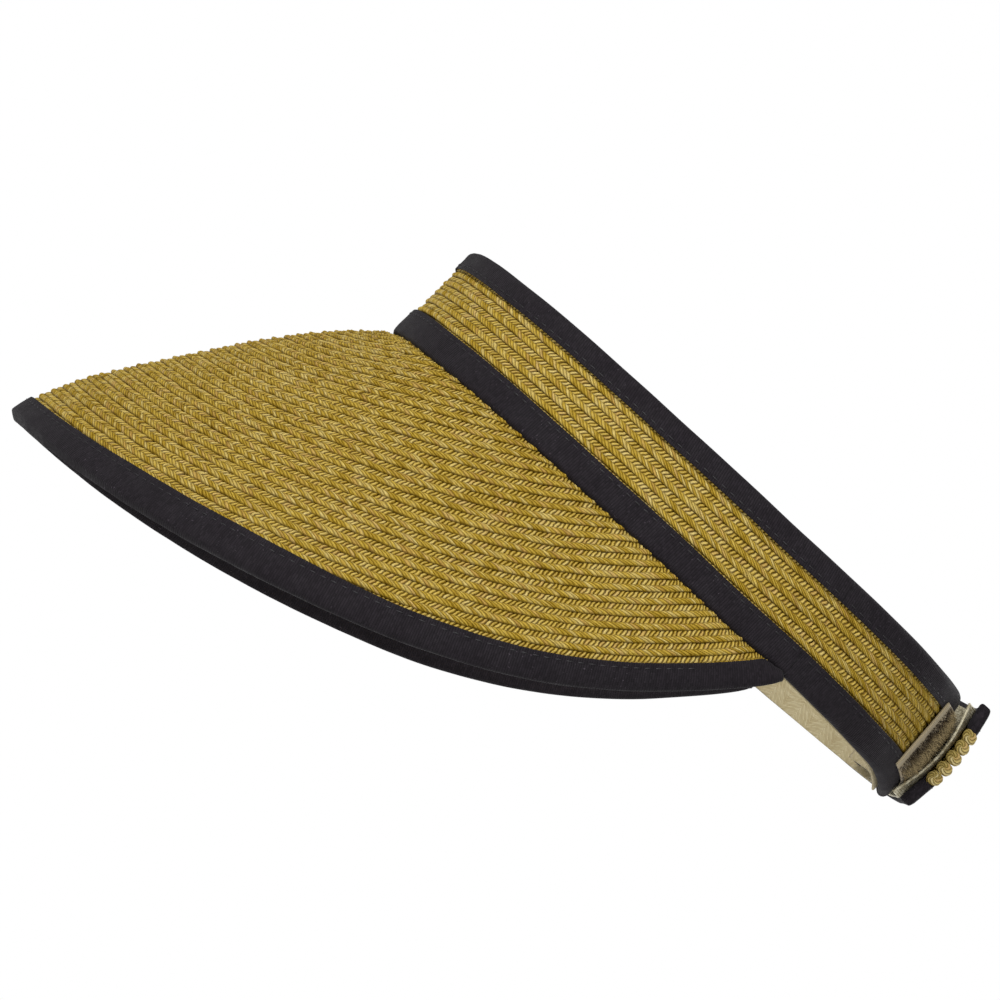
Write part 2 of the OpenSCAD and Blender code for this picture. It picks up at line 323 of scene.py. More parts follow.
def makeLining(look):
    material, tree, shader = newMaterial("cream herringbone lining", Specular_IOR_Level=0.25, Roughness=0.85,
                                         Sheen_Weight=0.1, Sheen_Roughness=0.4)
    along, across = surfaceCoordinates(tree, "cloth")
    zigzag = calc(tree, "PINGPONG", along, look["column"])
    weave = useGroup(tree, ribs, {"Along": zigzag, "Across": across, "Pitch": look["thread"], "Slant": 1.0,
                                  "Unevenness": 0.35})
    colour = blendColour(tree, weave["Thread"], look["cream"], look["pale"])
    # painted shade: the shade colour darkens the low parts of the twill
    colour = blendColour(tree, ramp(tree, weave["Height"], 0.1, 0.75, 0.75, 0.0), colour, look["shade"])
    worn = noise(tree, objectCoordinates(tree), 60.0, 3.0)
    colour = blendColour(tree, ramp(tree, worn, 0.45, 0.7, 0.0, 0.25), colour, look["shade"])
    joinShader(tree, shader, weave["Height"], 0.7, look["bump"], Base_Color=colour)
    return material


pileLook = {
    "taupe": srgb(150, 134, 104),
    # deep is painted shade down in the pile, tip a painted highlight on the tufts
    "deep": srgb(70, 58, 42),
    "tip": srgb(190, 174, 138),
    "selvage": srgb(158, 146, 120),
    "bump": 0.0004,
}


def makePile(look):
    material, tree, shader = newMaterial("loop pile", Specular_IOR_Level=0.2, Roughness=0.9,
                                         Sheen_Weight=0.25, Sheen_Roughness=0.4)
    objectPlace = objectCoordinates(tree)
    along, across = surfaceCoordinates(tree, "cloth")
    tufts = noise(tree, objectPlace, 1400.0, 3.0, 0.7)
    clumps = noise(tree, objectPlace, 260.0, 2.0)
    mix = calc(tree, "MULTIPLY_ADD", tufts, 0.6, calc(tree, "MULTIPLY", clumps, 0.5))
    # random tone and painted light together: the deep colour falls where the pile is low, a painted shade,
    # and the tip colour on the highest tufts, a painted highlight
    colour = blendColour(tree, ramp(tree, mix, 0.38, 0.62), look["deep"], look["taupe"])
    colour = blendColour(tree, ramp(tree, tufts, 0.58, 0.75), colour, look["tip"])
    edge = ramp(tree, along, 2.4, 3.6, 1.0, 0.0)  # the woven selvage at the tape's front end has no pile
    weave = useGroup(tree, ribs, {"Along": across, "Across": along, "Pitch": 0.45})
    # the selvage is paler on its rib tops, a painted highlight
    smooth = blendColour(tree, weave["Height"], look["taupe"], look["selvage"])
    colour = blendColour(tree, edge, colour, smooth)
    height = calc(tree, "MULTIPLY", mix, calc(tree, "SUBTRACT", 1.0, edge))
    height = calc(tree, "MULTIPLY_ADD", calc(tree, "MULTIPLY", weave["Height"], edge), 0.2, height)
    joinShader(tree, shader, height, 0.8, look["bump"], Base_Color=colour)
    return material


hairLook = {
    # painted shade at the foot of each hair
    "root": srgb(44, 34, 22),
    "darkTip": srgb(80, 66, 46),
    "paleTip": srgb(196, 174, 128),
    "darkTo": (4.0, 6.5),  # distance from the tape's front end over which the pile turns from dark to pale
}


def makeHairs(look):
    material, tree, shader = newMaterial("pile hairs", Specular_IOR_Level=0.25, Roughness=0.8)
    along, height = surfaceCoordinates(tree, "cloth")
    clumps = noise(tree, objectCoordinates(tree), 420.0, 2.0)
    place = calc(tree, "MULTIPLY_ADD", clumps, 5.0, calc(tree, "SUBTRACT", along, 2.5))
    tip = blendColour(tree, ramp(tree, place, *look["darkTo"]), look["darkTip"], look["paleTip"])
    # painted shade: each hair darkens toward its root, down in the pile
    colour = blendColour(tree, ramp(tree, height, 0.1, 0.9), look["root"], tip)
    joinShader(tree, shader, Base_Color=colour, Roughness=ramp(tree, clumps, 0.3, 0.7, 0.65, 0.9))
    return material


hookLook = {
    "pale": srgb(214, 207, 180),
    "shade": srgb(158, 147, 116),
    "bump": 0.0002,
}


def makeHook(look):
    material, tree, shader = newMaterial("hook tape", Specular_IOR_Level=0.4, Roughness=0.5)
    along, across = surfaceCoordinates(tree, "cloth")
    weave = useGroup(tree, ribs, {"Along": across, "Across": along, "Pitch": 0.7})
    worn = noise(tree, objectCoordinates(tree), 700.0, 3.0)
    colour = blendColour(tree, ramp(tree, worn, 0.35, 0.65), look["shade"], look["pale"])
    # painted shade: the shade colour darkens the low parts between the ribs
    colour = blendColour(tree, ramp(tree, weave["Height"], 0.0, 0.5, 0.5, 0.0), colour, look["shade"])
    height = calc(tree, "MULTIPLY_ADD", worn, 0.4, weave["Height"])
    joinShader(tree, shader, height, 0.6, look["bump"], Base_Color=colour)
    return material


threadLook = {"black": srgb(18, 15, 18), "worn": srgb(30, 26, 32), "twist": 2600.0, "bump": 0.00008}


def makeThread(look):
    material, tree, shader = newMaterial("sewing thread", Specular_IOR_Level=0.4, Roughness=0.55)
    fine = noise(tree, objectCoordinates(tree), look["twist"], 2.0)
    colour = blendColour(tree, ramp(tree, fine, 0.4, 0.7), look["black"], look["worn"])
    joinShader(tree, shader, fine, 0.5, look["bump"], Base_Color=colour)
    return material


straw = makeStraw(strawLook)
cutStraw = makeStraw(cutLook, "cut straw")
tape = makeTape(tapeLook)
lining = makeLining(liningLook)
pile = makePile(pileLook)
hairs = makeHairs(hairLook)
hooks = makeHook(hookLook)
thread = makeThread(threadLook)
print("materials made")

crown = {
    "halfLength": 97.0,
    "halfWidth": 74.0,
    "squareness": 0.023,  # share of the third harmonic
    "height": 33.0,
    "topInset": 3.5,  # how much narrower the top edge is on each side
    "topShift": 2.2,  # how far it leans forward
    "brimEnd": 119.0,  # degrees round the opening where the brim ends and the free ends begin
    "leftEnd": 207.0,
    "rightEnd": -191.0,
    "lift": 6.1,  # how far the right end stands off the left one where they lap
    "flare": 1.5,
    "rise": 2.2,
    "bow": 2.0,  # how far the right end's middle swells out at its tip
    "tilt": -1.2,  # and how far its top edge moves out
    "spread": 2.8,  # growth of the right end's height at its tip
    "spreadFrom": 0.6,  # share of the height that keeps its place as the height grows
    "farTuck": 0.3,  # lift of the bottom edge behind the brim on the right
    "rearLean": 2.8,  # how far the left end's top edge leans in at the back
    "rearRise": 0.85,  # how far its top edge climbs there
    "rearDrop": 2.0,  # and how far its bottom edge sags before the lap
    "nearTuck": 0.6,  # lift of the bottom edge behind the brim on the left
    "endTuck": 2.6,  # lift of the bottom edge where the left end slips behind the right one
}

turnSpans = {  # degrees round the opening where each of these changes starts, and over how many it grows
    "upright": (90.0, 75.0),  # the wall turns from leaning to upright
    "lift": (121, 27),
    "flare": (180, 11),
    "tip": (168, 23),  # bow and tilt
    "rise": (119, 41),
    "spread": (125, 45),
    "farTuck": (95, 24),
    "rearLean": (140, 38),
    "rearRise": (90, 50),
    "rearDrop": (150, 25),
    "endTuck": (178, 20),
    "nearTuck": (105, 15),
    "nearTuckEnd": (150, 20),
}


def ease(x):  # smooth step: 3 x squared less 2 x cubed
    x = np.clip(x, 0, 1)
    return x * x * (3 - 2 * x)


def grow(angle, name):
    start, length = turnSpans[name]
    return ease((angle - start) / length)


def wall(t, z, d):
    # a squared oval: sine and cosine plus a little of the third harmonic, moved out by d along its normal
    t, z, d = np.broadcast_arrays(np.asarray(t, float), np.asarray(z, float), np.asarray(d, float))
    away = -t
    share = z / crown["height"]
    middle = np.sin(np.pi * np.clip(share, 0, 1))
    d = d + crown["lift"] * grow(away, "lift") + crown["flare"] * grow(away, "flare")
    d = d + (crown["bow"] * middle + crown["tilt"] * share) * grow(away, "tip")
    d = d - crown["rearLean"] * share ** 2 * grow(t, "rearLean")
    lean = share * (1 - grow(np.abs(t), "upright"))
    z = z + crown["rise"] * grow(away, "rise")
    z = z + crown["spread"] * (share - crown["spreadFrom"]) * grow(away, "spread")
    z = z + (1 - share) * (crown["farTuck"] * grow(away, "farTuck") - crown["rearDrop"] * grow(t, "rearDrop")
                           + (crown["rearDrop"] + crown["endTuck"]) * grow(t, "endTuck")
                           + crown["nearTuck"] * grow(t, "nearTuck") * (1 - grow(t, "nearTuckEnd")))
    z = z + crown["rearRise"] * share * grow(t, "rearRise")
    t = np.radians(t)
    q = crown["squareness"]
    a = crown["halfLength"] - crown["topInset"] * lean
    b = crown["halfWidth"] - crown["topInset"] * lean
    x = b / (1 - q) * (np.sin(t) + q * np.sin(3 * t))
    y = -a / (1 - q) * (np.cos(t) - q * np.cos(3 * t))
    slopeX = b * (np.cos(t) + 3 * q * np.cos(3 * t))
    slopeY = a * (np.sin(t) - 3 * q * np.sin(3 * t))
    size = np.hypot(slopeX, slopeY)
    return np.stack([x + d * slopeY / size, y - d * slopeX / size - crown["topShift"] * lean, z], -1)


brimShape = {
    "edge": [(0, -163.8, -94.8), (47, -163.9, -94.3), (77.5, -128.4, -96.2), (96, -92.9, -91.5),
             (107, -56.8, -71.2), (105.7, -21.3, -69.8), (89.6, 10.4, -50.6)],
    "bulge": 6.0,
    "fullness": 4,  # power of the arch on its outer half: the higher, the sooner it rises from the edge
    "archPower": 3,  # the same on its inner half
    "fan": (0.19, 0.69, 22),  # how the rows spread round the seam: linear and square shares, and a last power
    "tuck": (0.85, 2.5),  # how deep the rows slip under the band's tape, and over what length
    "tuckFade": 8,  # length of row over which that dies out toward the brim's rear ends
    "seamDrop": 1.35,  # the seam's place below the band's edge and outside the wall
    "seamOffset": 1.0,
    "endDrop": (3, 1.4),  # the rear tips' place: outside the wall, and below the band's edge
    "samples": 6001,
}


def makeBrimTable(shape):  # edge curve (Bernstein weights of its control points), crown seam and face normal
    u = np.linspace(-1, 1, shape["samples"])
    m = np.abs(u)
    outside, below = shape["endDrop"]
    control = np.array([*shape["edge"], wall(crown["brimEnd"], 0, outside) - np.array([0, 0, below])], float)
    order = len(control) - 1
    counts = np.array([float(np.prod([(order - k) / (k + 1) for k in range(i)])) for i in range(order + 1)])
    weights = counts * m[:, None] ** np.arange(order + 1) * (1 - m[:, None]) ** (order - np.arange(order + 1))
    edge = weights @ control
    edge[:, 0] *= np.sign(u)
    linear, square, power = shape["fan"]
    fan = np.sign(u) * crown["brimEnd"] * (linear * m + square * m ** 2 + (1 - linear - square) * m ** power)
    seam = wall(fan, 0, shape["seamOffset"])
    seam[:, 2] = -shape["seamDrop"]
    normal = np.cross(np.gradient(edge, axis=0), seam - edge)
    normal /= np.linalg.norm(normal, axis=1)[:, None]
    reach = np.linalg.norm(seam - edge, axis=1)
    return {"u": u, "edge": edge, "seam": seam, "normal": normal, "reach": reach}


brimTable = makeBrimTable(brimShape)


def look3(x, table, values):  # linear interpolation of points
    return np.stack([np.interp(x, table, values[:, k]) for k in range(3)], -1)


def brim(u, r, n):  # a straight line from edge to seam, with an arch and a distance n along the face normal
    u, r, n = np.broadcast_arrays(np.asarray(u, float), np.asarray(r, float), np.asarray(n, float))
    edge = look3(u, brimTable["u"], brimTable["edge"])
    seam = look3(u, brimTable["u"], brimTable["seam"])
    normal = look3(u, brimTable["u"], brimTable["normal"])
    reach = np.interp(u, brimTable["u"], brimTable["reach"])
    share = r / reach
    fullReach = brimTable["reach"][len(brimTable["u"]) // 2]
    power = np.where(share < 0.5, brimShape["fullness"], brimShape["archPower"])
    arch = brimShape["bulge"] * reach / fullReach * (1 - np.abs(2 * np.clip(share, 0, 1) - 1) ** power)
    depth, length = brimShape["tuck"]
    tuck = depth * ease((r - reach + length) / length) * ease((reach - length) / brimShape["tuckFade"])
    return edge + (seam - edge) * share[..., None] + normal * (n + arch - tuck)[..., None]


def arcTable(parameter, points):  # distance along a line of points
    return np.concatenate([[0], np.cumsum(np.linalg.norm(np.diff(points, axis=0), axis=1))]), parameter


def enclosed(points, faces):
    # six times the volume inside: each face's fan of triangles, seen from the origin
    corner = points[faces]
    return sum(np.einsum("ij,ij->", corner[:, 0], np.cross(corner[:, k], corner[:, k + 1]))
               for k in range(1, faces.shape[1] - 1))


def tubeSkin(grid, along, across, ladder=False):
    # rings of points joined into a closed skin, with a fan over each end or a ladder on a folded strip
    count, around = grid.shape[:2]
    uv = np.stack([along, across], -1)
    i, j = np.meshgrid(np.arange(count - 1), np.arange(around), indexing="ij")
    after = (j + 1) % around
    quads = np.stack([i * around + j, i * around + after, (i + 1) * around + after, (i + 1) * around + j], -1)
    quadUv = np.stack([uv[i, j], uv[i, j + 1], uv[i + 1, j + 1], uv[i + 1, j]], -2)
    quads, quadUv = quads.reshape(-1, 4), quadUv.reshape(-1, 4, 2)
    points = grid.reshape(-1, 3)
    tris = np.zeros((0, 3), int)
    triUv = np.zeros((0, 3, 2))
    last = (count - 1) * around
    if ladder:
        k = np.arange(around // 2 - 1)
        first = np.stack([k, around - 1 - k, around - 2 - k, k + 1], -1)
        rungs = np.concatenate([first, first[:, ::-1] + last])
        quads = np.concatenate([quads, rungs])
        quadUv = np.concatenate([quadUv, uv[rungs // around, rungs % around]])
    else:
        points = np.concatenate([points, grid[0].mean(0)[None], grid[-1].mean(0)[None]])
        k = np.arange(around)
        after = (k + 1) % around
        middle = np.full(around, len(points) - 2)
        tris = np.concatenate([np.stack([after, k, middle], -1),
                               np.stack([k + last, after + last, middle + 1], -1)])
        triUv = np.repeat(np.concatenate([uv[0, :-1], uv[-1, :-1]])[:, None], 3, 1)
    if enclosed(points, quads) + enclosed(points, tris) < 0:
        quads, quadUv, tris, triUv = quads[:, ::-1], quadUv[:, ::-1], tris[:, ::-1], triUv[:, ::-1]
    return points, quads, quadUv, tris, triUv


def joinSkins(skins):
    offsets = np.cumsum([0] + [len(s[0]) for s in skins[:-1]])
    return (np.concatenate([s[0] for s in skins]),
            np.concatenate([s[1] + o for s, o in zip(skins, offsets)]), np.concatenate([s[2] for s in skins]),
            np.concatenate([s[3] + o for s, o in zip(skins, offsets)]), np.concatenate([s[4] for s in skins]))


def makePiece(name, skin, material, uvName="cloth"):
    points, quads, quadUv, tris, triUv = skin
    mesh = bpy.data.meshes.new(name)
    mesh.vertices.add(len(points))
    mesh.vertices.foreach_set("co", (points * 0.001).astype(np.float32).ravel())
    corners = np.concatenate([quads.ravel(), tris.ravel()]).astype(np.int32)
    mesh.loops.add(len(corners))
    mesh.loops.foreach_set("vertex_index", corners)
    starts = np.concatenate([np.arange(len(quads)) * 4, len(quads) * 4 + np.arange(len(tris)) * 3])
    mesh.polygons.add(len(starts))
    mesh.polygons.foreach_set("loop_start", starts.astype(np.int32))
    mesh.polygons.foreach_set("use_smooth", np.ones(len(starts), bool))
    mesh.update(calc_edges=True)
    layer = mesh.uv_layers.new(name=uvName)
    layer.data.foreach_set("uv", np.concatenate([quadUv.reshape(-1), triUv.reshape(-1)]).astype(np.float32))
    mesh.validate()
    mesh.materials.append(material)
    piece = bpy.data.objects.new(name, mesh)
    bpy.context.scene.collection.objects.link(piece)
    return piece


hingeTurn = {"start": 122.5, "end": 152.0}  # degrees round the opening between which a free end bends


def hold(piece, part):  # front pieces ride on the visor, the free ends have their transform baked where they stand
    if part == "front":
        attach(piece, "visor")
    else:
        side = 1 if part == "left" else -1
        start, end = (wall(side * hingeTurn[k], 16, 1) * 0.001 for k in ("start", "end"))
        start[2] = end[2] = 0.0
        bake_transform(piece)


def drift(x, seed, wavelength, size):  # slow wander: three sines of random phase
    rng = np.random.default_rng(seed)
    waves = wavelength * np.array([1.0, 0.61, 0.37])
    return size * sum(w * np.sin(2 * np.pi * x / l + p)
                      for w, l, p in zip((0.6, 0.3, 0.2), waves, rng.uniform(0, 6.28, 3)))


plait = {
    "pitch": 1.38,  # one strand along the row
    "samples": 4,  # mesh columns per strand
    "tuck": 0.45,  # how far the inner edge slips under the next row
    "middle": 0.47,  # where the two strand columns meet
    "thickness": 1.6,
    "lap": 0.5,  # how much higher the outer edge lies than the inner one
    "drop": 0.05,  # how far the whole row sits toward the edge
    "outerRelief": 0.24,
    "innerRelief": 0.52,
    "roundness": 2.2,  # power of a strand's rounded top
    "meanHeight": 0.75,  # a strand's mean share of its relief
    "underRelief": 0.7,  # relief on the under face, as a share of the upper one's
    "strandSpread": 0.15,
    "jitter": (4.6, 0.2),  # wavelength and size of the strands' wander along the row
    "sway": (31.0, 0.09),  # the same for the whole row, across
    "breathe": (47.0, 0.07),  # and in height
    "edgeRound": 0.16,
    "ridge": (0.24, 0.15, 0.26),  # rise along the outer column: where, how wide, how high
    "groove": (0.47, 0.06, 0.14),  # dip between the columns: where, how wide, how deep
    "innerDrop": (0.7, 0.22),  # fall toward the inner edge: where it starts, how deep
    "endRamp": 9.0,
    "top": (0.0, 0.05, 0.13, 0.24, 0.36, 0.47, 0.58, 0.70, 0.82, 0.92, 1.0),
    "bottom": (0.9, 0.66, 0.42, 0.14),
}


def plaitSkin(length, width, place, seed, outerAngle, innerAngle, lines=None, detail=1.0):
    # Rows of slanted strands in two columns that meet in a chevron. Mesh lines follow the strands, so the
    # distance along is the line's own plus width over the tangent of the strand angle. Height is a rounded
    # top per strand.
    rng = np.random.default_rng(seed)
    samples = plait["samples"] if detail == 1 else 1
    count = int(round(length / plait["pitch"])) * samples + 1
    line = np.arange(count) if lines is None else np.arange(*lines)
    base = line * length / (count - 1)
    v = np.array(plait["top"] + plait["bottom"])
    isTop = np.arange(len(v)) < len(plait["top"])
    middle = plait["middle"]
    full = width + plait["tuck"]
    outerSlope, innerSlope = (np.tan(np.radians(angle(base)))[:, None] for angle in (outerAngle, innerAngle))
    outer = np.clip((middle - v) / middle, 0, 1)[None, :] * full * middle / outerSlope
    inner = np.clip((v - middle) / (1 - middle), 0, 1)[None, :] * full * (1 - middle) / innerSlope
    fade = np.clip(base / plait["endRamp"], 0, 1) * np.clip((length - base) / plait["endRamp"], 0, 1)
    jitter = drift(base[:, None] + 9 * v[None, :], seed + 31, *plait["jitter"])
    jitter = jitter * np.clip(v * (1 - v) * 5, 0, 1)
    s = base[:, None] + (outer + inner + jitter) * fade[:, None]
    phase = np.broadcast_to((line / samples)[:, None], s.shape)
    column = (v > middle).astype(float)[None, :]
    strand = phase + 0.5 * column
    within = strand - np.floor(strand)
    rounded = 1 - np.abs(2 * within - 1) ** plait["roundness"]
    spread = rng.normal(0, plait["strandSpread"], (2, int(length / plait["pitch"]) + 8))
    ownHeight = spread[column.astype(int), np.floor(strand).astype(int)]
    edgeIn, edgeOut = np.clip(v / plait["edgeRound"], 0, 1), np.clip((1 - v) / plait["edgeRound"], 0, 1)
    roundEdge = np.sqrt(1 - (1 - edgeIn) ** 2) * np.sqrt(1 - (1 - edgeOut) ** 2)
    bottomFlat = plait["lap"] * (1 - v)
    topFlat = plait["thickness"] + bottomFlat
    for (centre, spreadOut, size), sign in ((plait["ridge"], 1), (plait["groove"], -1)):
        topFlat = topFlat + sign * size * np.exp(-((v - centre) / spreadOut) ** 2)
    dropFrom, innerDrop = plait["innerDrop"]
    topFlat = topFlat - innerDrop * ease((v - dropFrom) / (1 - dropFrom))
    halfway = plait["thickness"] / 2 + bottomFlat
    relief = np.where(v > middle, plait["innerRelief"], plait["outerRelief"]) if detail == 1 else 0 * v
    swell = (rounded - plait["meanHeight"]) * relief
    topHeight = topFlat + swell + ownHeight * detail
    bottomHeight = bottomFlat - swell * plait["underRelief"]
    height = halfway + (np.where(isTop, topHeight, bottomHeight) - halfway) * roundEdge
    sway = drift(base, seed + 11, *plait["sway"])[:, None]
    breathe = drift(base, seed + 23, *plait["breathe"])[:, None]
    w = v[None, :] * full - plait["drop"] + sway
    grid = place(s, w, height + breathe)
    acrossUv = np.where(isTop, v, 2 - v)
    acrossUv = np.broadcast_to(np.append(acrossUv, 2.0), (len(base), len(v) + 1))
    alongUv = np.broadcast_to((line / samples + 1000.0 * (seed % 100))[:, None], acrossUv.shape)
    return tubeSkin(grid, alongUv, acrossUv)


brimRows = {
    "count": 31,
    "first": 1.0,
    "pitch": 3.7,
    "under": 0.9,  # how far a row's end goes on past the seam, under the band's tape
    "shortest": (1.35, 0.6),  # least reach at a row's ends, and at the middle
    "middleLine": 1.8,  # where a row's length is measured, from its outer edge
    "past": (2.4, 0.03),  # how far a row may go past the seam, and the share it keeps beyond that
    "outerAngle": (36.0, (90.0, 5.0), (9.0, 2.5)),  # strand angle, and wavelength and size of two drifts
    "innerAngle": (54.0, (70.0, 6.0), (11.0, 4.0)),
}


def driftingAngle(settings, seed):
    angle, slow, quick = settings
    return lambda s: angle + drift(s, seed, *slow) + drift(s, seed + 20, *quick)


def makeBrimRows(rows):
    u, reach = brimTable["u"], brimTable["reach"]
    half = len(u) // 2
    atEnds, atMiddle = rows["shortest"]
    allowed, kept = rows["past"]
    for k in range(rows["count"]):
        start = rows["first"] + k * rows["pitch"]
        endU = float(np.interp(-max(start - rows["under"], atEnds), -reach[half:], u[half:]))
        if reach[half] < start + atMiddle:
            continue
        inside = np.linspace(-endU, endU, 3000)
        middleLine = np.minimum(start + rows["middleLine"], np.interp(inside, u, reach))
        arc, inside = arcTable(inside, brim(inside, middleLine, 0))

        def place(s, w, n, start=start, arc=arc, inside=inside):
            at = np.interp(s, arc, inside)
            limit = np.interp(at, u, reach) + allowed
            r = start + w
            past = np.maximum(r - limit, 0)
            return brim(at, np.where(past > 0, limit + kept * past, r), n)

        skin = plaitSkin(arc[-1], rows["pitch"], place, 500 + k, driftingAngle(rows["outerAngle"], 300 + k),
                         driftingAngle(rows["innerAngle"], 400 + k))
        piece = makePiece("brim_row_%02d" % (k + 1), skin, straw, "strands")
        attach(piece, "visor")
        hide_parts("brim_braid_row_%02d" % min(k + 1, 30))


makeBrimRows(brimRows)
print("brim rows made")

bandRows = {
    "count": 8,
    "first": 2.2,
    "pitch": 3.6,
    "hidden": (0, 1, 7),  # rows wholly under the tapes
    "middleLine": 1.8,
    "outerAngles": (40.0, 24.0),  # strand angle at the front and at the rear
    "innerAngles": (48.0, 66.0),
    "change": (60, 60),  # degrees round the opening where it starts to change, and over how many
    "angleDrift": (80.0, 3.0),
    "slack": 6.0,  # how far the front part goes on past the hinge line
}


def makeBandRows(rows):
    ends = {"left": [], "right": []}
    for j in range(rows["count"]):
        z0 = rows["first"] + j * rows["pitch"]
        t = np.linspace(crown["rightEnd"], crown["leftEnd"], 4000)
        arc, t = arcTable(t, wall(t, z0 + rows["middleLine"], 1.0))
        length = arc[-1]

        def place(s, w, n, z0=z0, arc=arc, t=t):
            return wall(np.interp(s, arc, t), z0 + w, n)

        def angle(s, front, rear, arc=arc, t=t, j=j):
            changeFrom, over = rows["change"]
            share = ease((np.abs(np.interp(s, arc, t)) - changeFrom) / over)
            return front + (rear - front) * share + drift(s, 700 + j, *rows["angleDrift"])

        outerAngle = lambda s: angle(s, *rows["outerAngles"])
        innerAngle = lambda s: angle(s, *rows["innerAngles"])
        detail = 0 if j in rows["hidden"] else 1
        samples = plait["samples"] if detail else 1
        count = int(round(length / plait["pitch"])) * samples + 1
        step = length / (count - 1)
        hinge = crown["brimEnd"]
        first = int((np.interp(-hinge, t, arc) - rows["slack"]) / step)
        last = int(np.interp(hinge, t, arc) / step) + 1
        ranges = {"right": (0, first + 1), "front": (first, last + 1), "left": (last, count)}
        for part, lines in ranges.items():
            skin = plaitSkin(length, rows["pitch"], place, 540 + j, outerAngle, innerAngle, lines, detail)
            if part == "front":
                piece = makePiece("band_row_%d" % (j + 1), skin, straw, "strands")
                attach(piece, "visor")
                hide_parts("front_braid_row_%d" % (j + 1))
            else:
                ends[part].append(skin)
    for part, skins in ends.items():
        piece = makePiece(part + "_end_rows", joinSkins(skins), straw, "strands")
        hold(piece, part)
        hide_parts(part + "_end_braids")


makeBandRows(bandRows)
print("band rows made")


def stripRing(path, thickness):
    # a strip's closed outline: its middle line moved half the thickness to each side, with rounded ends
    path = np.asarray(path, float)
    slope = np.gradient(path, axis=0)
    slope /= np.linalg.norm(slope, axis=1)[:, None]
    normal = np.stack([slope[:, 1], -slope[:, 0]], -1)
    half = np.full(len(path), thickness / 2)
    half[0] = half[-1] = thickness * 0.2
    half[1] = half[-2] = thickness * 0.42
    return np.concatenate([path + normal * half[:, None], (path - normal * half[:, None])[::-1]])


def pathLength(path):
    return np.concatenate([[0], np.cumsum(np.linalg.norm(np.diff(path, axis=0), axis=1))])


def stripUv(along, path):  # distance along the strip, and across its own width, out and back
    reach = pathLength(np.asarray(path, float))
    across = np.concatenate([reach, reach[::-1], reach[:1]])
    size = (len(along), len(across))
    return np.broadcast_to(along[:, None], size), np.broadcast_to(across, size)


def foldPath(foldAt, leafAt, outer, inner, leafPoints=9, foldPoints=9):
    # (height, depth) of a folded tape's middle line: outer leaf, half circle round the edge, inner leaf
    radius = (outer - inner) / 2
    side = np.sign(leafAt - foldAt)
    turn = np.linspace(0, np.pi, foldPoints)
    bendHeight = foldAt + side * radius * (1 - np.sin(turn))
    bendDepth = (outer + inner) / 2 + radius * np.cos(turn)
    leaf = np.linspace(leafAt, foldAt + side * radius, leafPoints)[:-1]
    nose = leafAt - side * 0.12
    leaf = np.concatenate([[leafAt, nose], leaf[1:]])
    return np.concatenate([np.stack([leaf, np.full(len(leaf), outer)], -1),
                           np.stack([bendHeight, bendDepth], -1),
                           np.stack([leaf[::-1], np.full(len(leaf), inner)], -1)])


tapeCut = {
    "thickness": 0.62,
    "outer": 2.7,  # depth of the outer leaf's middle
    "inner": -0.55,
    "step": 1.0,
    "stitchIn": 1.5,  # stitch line's distance from the leaf's edge
    "stitchPitch": 3.4,
    "stitchSize": (2.3, 0.5, 0.42),  # length, width, height
    "stitchMargin": 0.8,  # least distance from a part's end
    "stitchOff": 0.27,  # how far a stitch's middle lies off the tape's middle
    "dimple": (0.9, 0.16),  # how wide and how deep each stitch presses in
    "pucker": (23.0, 0.06),  # wavelength and size
    "wander": (60.0, 0.3, 0.35),  # wavelength, size and share of the tape's slow shift across its width
}


def tapeSkin(path, arcLength, place, seed, stitchAt, startAt=0.0):
    # the folded outline carried along, pressed in at each stitch, with a slight pucker between stitches
    count = max(8, int(arcLength / tapeCut["step"]))
    s = np.linspace(0, arcLength, count)
    along = s + startAt
    ring = stripRing(path, tapeCut["thickness"])
    height, depth = ring[:, 0], ring[:, 1]
    outward = np.sign(depth - (tapeCut["outer"] + tapeCut["inner"]) / 2)
    wide, deep = tapeCut["dimple"]
    near = np.exp(-((height - stitchAt) / wide) ** 2)
    beat = 0.5 + 0.5 * np.cos(2 * np.pi * along / tapeCut["stitchPitch"])
    press = -deep * near[None, :] * beat[:, None]
    pucker = drift(along[:, None] + 2.5 * height[None, :], seed, *tapeCut["pucker"])
    wavelength, size, share = tapeCut["wander"]
    shifted = height[None, :] + share * drift(along, seed + 5, wavelength, size)[:, None]
    pressed = depth[None, :] + outward[None, :] * (press + pucker)
    grid = place(s[:, None] + 0 * height[None, :], shifted, pressed)
    return tubeSkin(grid, *stripUv(along, path), ladder=True), (pathLength(path)[-1], arcLength)


def stitchSkin(points, ahead, out, size):
    # small capsules: rings of six points along the stitch, narrowing to a point at both ends
    length, width, height = size
    rings = np.array([-0.5, -0.36, 0.0, 0.36, 0.5])
    narrow = np.array([0.05, 0.8, 1.0, 0.8, 0.05])
    turn = np.linspace(0, 2 * np.pi, 7)[:-1]
    side = np.cross(out, ahead)
    skins = []
    for middle, forward, up, sideways in zip(points, ahead, out, side):
        sag = -0.25 * height * (rings * 2) ** 2
        grid = (middle + forward * (rings * length)[:, None, None]
                + sideways * (np.cos(turn)[None, :] * narrow[:, None] * width / 2)[..., None]
                + up * (np.sin(turn)[None, :] * narrow[:, None] * height / 2 + sag[:, None])[..., None])
        zero = np.zeros((5, 7))
        skins.append(tubeSkin(grid, zero + middle[0], zero))
    return joinSkins(skins)


